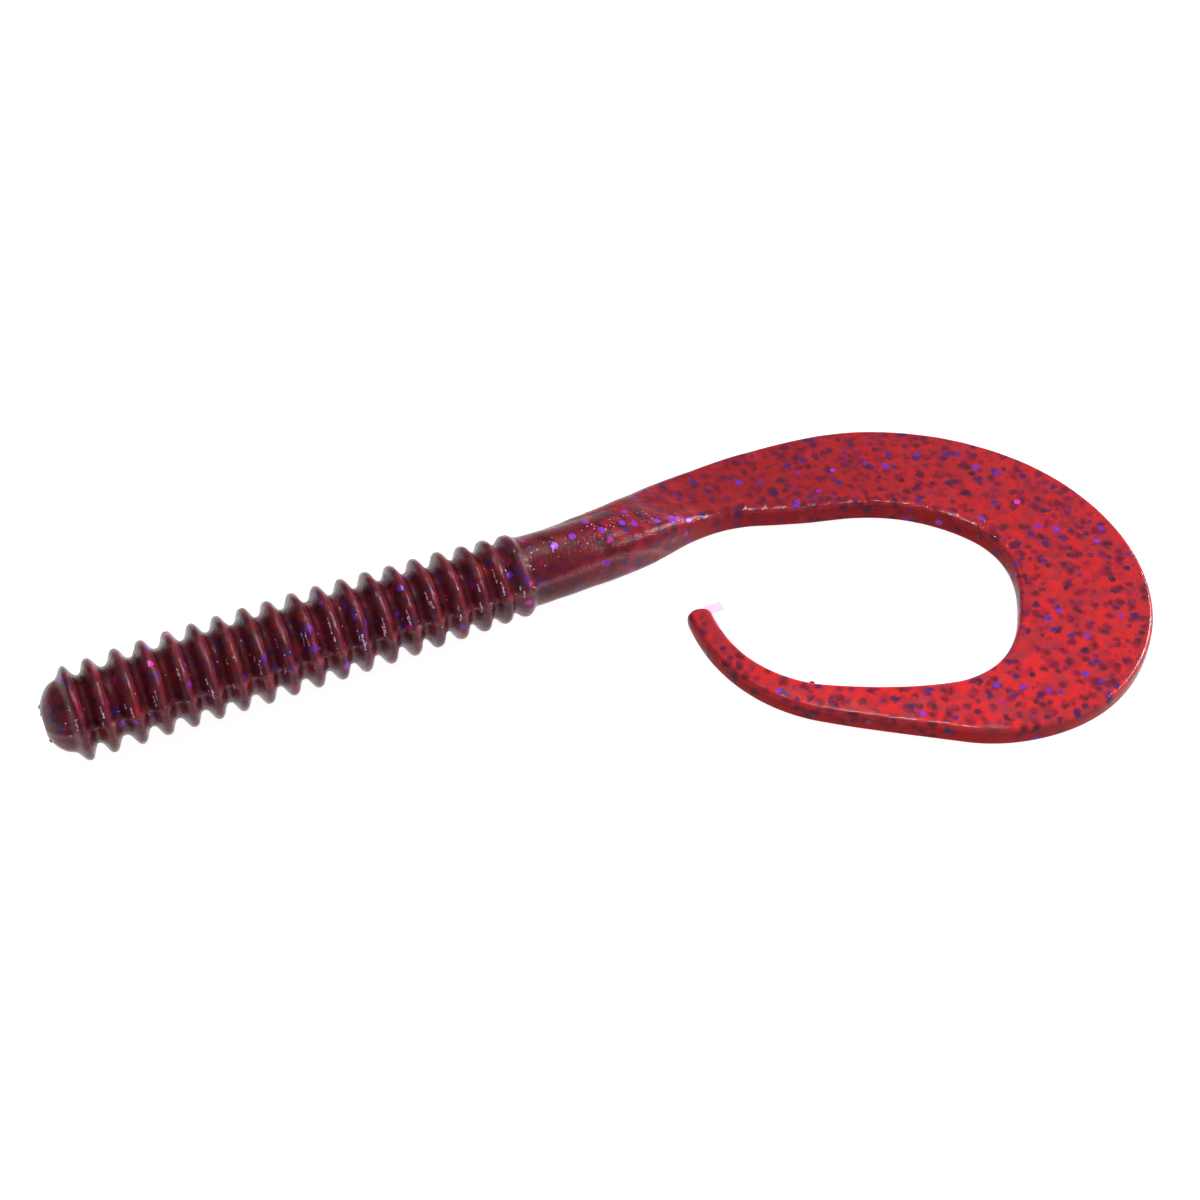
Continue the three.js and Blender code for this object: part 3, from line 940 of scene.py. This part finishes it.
def scatter_flakes():
    """Random places for the flakes of each colour, by piece of skin, none on top of another."""
    dice = random.Random(SEED + 1)
    tail_first = row_near(0)
    taken, placed = [], {}
    for slot, distance, column in WAIST_FLAKES:
        row = row_near(distance) + 0.5
        taken.append(grid_sample(skin.points, row, column))
        shape = (row, column, FLAKE_RADIUS, dice.uniform(0, math.pi / 3), WAIST_FLAKE_TILT)
        placed.setdefault((slot, span_of(row)), []).append((shape, dice.uniform(*WAIST_FLAKE_TINTS)))
    row_widths = [np.ptp(row[:, 1]) + np.ptp(row[:, 0]) for row in skin.points]
    tail_last = len(skin.points) - TIP_ROWS
    for slot, (on_tail, on_body) in FLAKE_COUNTS.items():
        for count, low, high in ((on_body, NOSE_ROW, tail_first), (on_tail, tail_first, tail_last)):
            made = tries = 0
            weights = list(np.maximum(row_widths[low:high], 1))
            while made < count and tries < count * TRIES:
                tries += 1
                row = dice.choices(range(low, high), weights)[0] + dice.random()
                column = dice.uniform(0, AROUND)
                if on_corner(row, column):
                    continue
                here = grid_sample(skin.points, row, column)
                if any(np.linalg.norm(here - other) < FLAKE_SPACING * FLAKE_RADIUS for other in taken):
                    continue
                taken.append(here)
                radius = FLAKE_RADIUS * dice.uniform(*FLAKE_SIZES)
                turn, tilt = dice.uniform(0, math.pi / 3), dice.uniform(-FLAKE_TILT, FLAKE_TILT)
                shape = (row, column, radius, turn, tilt)
                placed.setdefault((slot, span_of(row)), []).append((shape, dice.random()))
                made += 1
    return placed


# Painted glints: tiny pale chips that stand for glitter catching the light: how many, from and to which
# row, between which columns, and the largest one's radius.
GLINT_BANDS = [(40, 10, row_near(0), 31, 46, 0.08), (46, row_near(0), row_near(13), 22, 35, 0.06)]
# The rest lie in short lines on the rings' front flanks: how many lines on a ring, how many rows in
# front of its crest and between which columns a line starts, how far its chips stray from its row,
# the fewest and most chips in it, their spacing, and the smallest and largest one's radius.
LINES_PER_RING = 2
LINE_ROWS_BEFORE_CREST = (1.0, 4.5)
LINE_COLUMNS = (30, 42)
LINE_STRAY = 0.3
LINE_CHIPS = (3, 8)
LINE_SPACING = (0.45, 0.9)
LINE_CHIP_RADIUS = (0.04, 0.1)


def scatter_glints():
    """Places for the pale chips, the painted glints, by piece of skin."""
    dice = random.Random(SEED + 2)
    placed = {}

    def place(row, column, radius):
        shape = (row, column, radius, dice.uniform(0, math.pi / 3), 0.0)
        placed.setdefault(("glint", span_of(row)), []).append((shape, dice.random()))

    for count, first, last, low, high, largest in GLINT_BANDS:
        for glint in range(count):
            place(dice.uniform(first, last), dice.uniform(low, high), dice.uniform(largest / 2, largest))
    for crest_row in skin.edges[:RING_COUNT]:
        for line in range(LINES_PER_RING):
            row = crest_row - dice.uniform(*LINE_ROWS_BEFORE_CREST)
            column = dice.uniform(*LINE_COLUMNS)
            for chip in range(dice.randint(*LINE_CHIPS)):
                place(row + dice.uniform(-LINE_STRAY, LINE_STRAY), column, dice.uniform(*LINE_CHIP_RADIUS))
                column += dice.uniform(*LINE_SPACING)
    return placed


def flake_piece(kind, index, flakes):
    """The flakes of one kind in one piece of skin."""
    points, faces, tints, normals, corner_normals = [], [], [], [], []
    for shape, tint in flakes:
        above, below, rim_faces = flake_faces(len(points))
        made, made_normals = flake_points(*shape, FLAKE_LIFT)
        points += made
        normals += made_normals
        for side, sign in ((above, 1), (below, -1), (rim_faces, 1)):
            faces += side
            corner_normals += [sign * normals[k] for face in side for k in face]
        tints += [tint] * len(made)
    part = "nose" if index is None else SPANS[index].bodies[1]
    piece = make_object(f"{kind}s_{part}", points, faces, corner_normals)
    set_numbers(piece, "tint", tints)
    if kind == "glint":
        dress(piece, "pink_flake", "pale_film_and_painted_glints")
    else:
        dress(piece, kind)
    hold(piece, index)


ALL_FLAKES = {**scatter_flakes(), **scatter_glints()}
for (kind, index), flakes in sorted(ALL_FLAKES.items(), key=lambda item: (item[0][0], item[0][1] or -1)):
    flake_piece(kind, index, flakes)


# ---- glitter that stands out of the surface ----
PROUD_HALF_THICKNESS = 0.045
PROUD_SINK = 0.35  # how much of its radius its middle lies under the skin
PROUD_TINT = 0.2
# Row of the skin, place round it, radius, and the step on the grid that it lies along: three on
# the nose and one on the ribbon's inner edge.
PROUD_FLAKES = [
    (6.1, 3.4, 0.3, (0.5, 0)),
    (4.8, 91, 0.2, (0, 0.5)),
    (6.6, 64, 0.28, (0.5, 0)),
    (row_near(100.5), 44, 0.34, (0.5, 0)),
]
TIP_FLAKE = (1.7, 1.1, 0.05)  # length, width and thickness of a loose bit of pale film at the tip
TIP_FLAKE_PLACE = (1.6, -0.3, 0.3)  # from the middle of the tip's end


def plate(outline, middle, across, up, half_thickness):
    """A flat plate with a straight-sided outline, as points, faces and each corner's normal."""
    count = len(outline)
    out = np.cross(across, up)
    flat = [middle + a * across + b * up for a, b in outline]
    points = [p + out * half_thickness for p in flat] + [p - out * half_thickness for p in flat]
    faces = [tuple(range(count)), tuple(range(2 * count - 1, count - 1, -1))]
    normals = [out] * count + [-out] * count
    for i in range(count):
        j = (i + 1) % count
        faces.append((i, i + count, j + count, j))
        edge = flat[i] + flat[j] - 2 * middle
        normals += [edge / np.linalg.norm(edge)] * 4
    return points, faces, normals


def proud_flake(name, row, column, radius, step):
    """A hexagon of black glitter standing partly out of the skin."""
    here, out = grid_sample(skin.points, row, column), grid_sample(skin.normals, row, column)
    side = grid_sample(skin.points, row + step[0], column + step[1]) - here
    side = side / np.linalg.norm(side)
    middle = here - out * radius * PROUD_SINK
    points, faces, normals = plate(hexagon(radius), middle, side, out, PROUD_HALF_THICKNESS)
    piece = make_object(name, points, faces, normals)
    set_numbers(piece, "tint", [PROUD_TINT] * len(points))
    dress(piece, "black_flake")
    hold(piece, span_of(row))


def tip_flake():
    """The loose bit of pale film that lies over the end of the tip."""
    length, width, thickness = TIP_FLAKE
    outline = [(a * length / 2, b * width / 2) for a, b in ((-1, -1), (1, -1), (1, 1), (-1, 1))]
    middle = skin.points[-1].mean(0) + TIP_FLAKE_PLACE
    across, up = np.array([1.0, 0, 0]), np.array([0, 1.0, 0])
    points, faces, normals = plate(outline, middle, across, up, thickness / 2)
    piece = make_object("tip_flake", points, faces, normals)
    set_numbers(piece, "tint", [1.0] * len(points))
    dress(piece, "pink_flake", "pale_film_and_painted_glints")
    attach(piece, "tail_tip")


for i, proud in enumerate(PROUD_FLAKES, 1):
    proud_flake(number("proud_flake", i), *proud)
tip_flake()


# ---- floor, light and camera ----
FLOOR_GLOW = 0.95  # a light table, which leaves almost no shadow
FLOOR_GREY = 0.35
FLOOR_HALF = 10  # metres, far past every view's edge
FLOOR_HEIGHT = -0.00005
WORLD_STRENGTH = 0.24
# Where each softbox stands, its two sides and its power. Both point at the worm's middle.
SOFTBOXES = {
    "overhead_softbox": ((0.103, 0.115, 0.44), (0.065, 0.013), 1.0),
    "side_softbox": ((0.36, 0.02, 0.20), (0.22, 0.032), 2.0),
}


def make_floor():
    mesh = bpy.data.meshes.new("floor")
    sides = ((-1, -1), (1, -1), (1, 1), (-1, 1))
    corners = [(a * FLOOR_HALF, b * FLOOR_HALF, FLOOR_HEIGHT) for a, b in sides]
    mesh.from_pydata(corners, [], [(0, 1, 2, 3)])
    material = bpy.data.materials.new("floor_white")
    material.use_nodes = True
    shader = material.node_tree.nodes["Principled BSDF"]
    shader.inputs["Base Color"].default_value = (FLOOR_GREY, FLOOR_GREY, FLOOR_GREY, 1)
    shader.inputs["Roughness"].default_value = 0.9
    shader.inputs["Specular IOR Level"].default_value = 0.1
    shader.inputs["Emission Color"].default_value = (1, 1, 1, 1)
    shader.inputs["Emission Strength"].default_value = FLOOR_GLOW
    mesh.materials.append(material)
    add_object("floor", mesh)


def softbox(name, place, size, power):
    data = bpy.data.lights.new(name, "AREA")
    data.shape = "RECTANGLE"
    data.size, data.size_y = size
    data.energy = power
    light = add_object(name, data)
    light.location = place
    light.rotation_euler = (-Vector(place)).to_track_quat("-Z", "Y").to_euler()


def make_world():
    world = bpy.data.worlds.new("studio")
    world.use_nodes = True
    background = world.node_tree.nodes["Background"]
    background.inputs["Color"].default_value = (0.98, 0.98, 1.0, 1)
    background.inputs["Strength"].default_value = WORLD_STRENGTH
    bpy.context.scene.world = world


CAMERA_AZIMUTH = -23.42  # degrees
CAMERA_ELEVATION = 49.59
CAMERA_ROLL = 0.72
CAMERA_DISTANCE = 0.2007
CAMERA_TARGET = (-0.00076, 0.00458, 0.00696)
CAMERA_LENS = 66  # on a 36 mm sensor


def make_camera():
    data = bpy.data.cameras.new("camera")
    data.lens = CAMERA_LENS
    data.clip_start = 0.01
    camera = add_object("camera", data)
    a, e = math.radians(CAMERA_AZIMUTH), math.radians(CAMERA_ELEVATION)
    back = Vector((math.sin(a) * math.cos(e), -math.cos(a) * math.cos(e), math.sin(e)))
    right = Vector((math.cos(a), math.sin(a), 0))
    up = back.cross(right)
    roll = math.radians(CAMERA_ROLL)
    rolled_right = right * math.cos(roll) + up * math.sin(roll)
    rolled_up = up * math.cos(roll) - right * math.sin(roll)
    place = Vector(CAMERA_TARGET) + back * CAMERA_DISTANCE
    rotation = Matrix((rolled_right, rolled_up, back)).transposed().to_4x4()
    camera.matrix_world = Matrix.Translation(place) @ rotation
    bpy.context.scene.camera = camera


make_floor()
make_world()
for name, (place, size, power) in SOFTBOXES.items():
    softbox(name, place, size, power)
make_camera()
bpy.context.scene.view_settings.view_transform = "Standard"
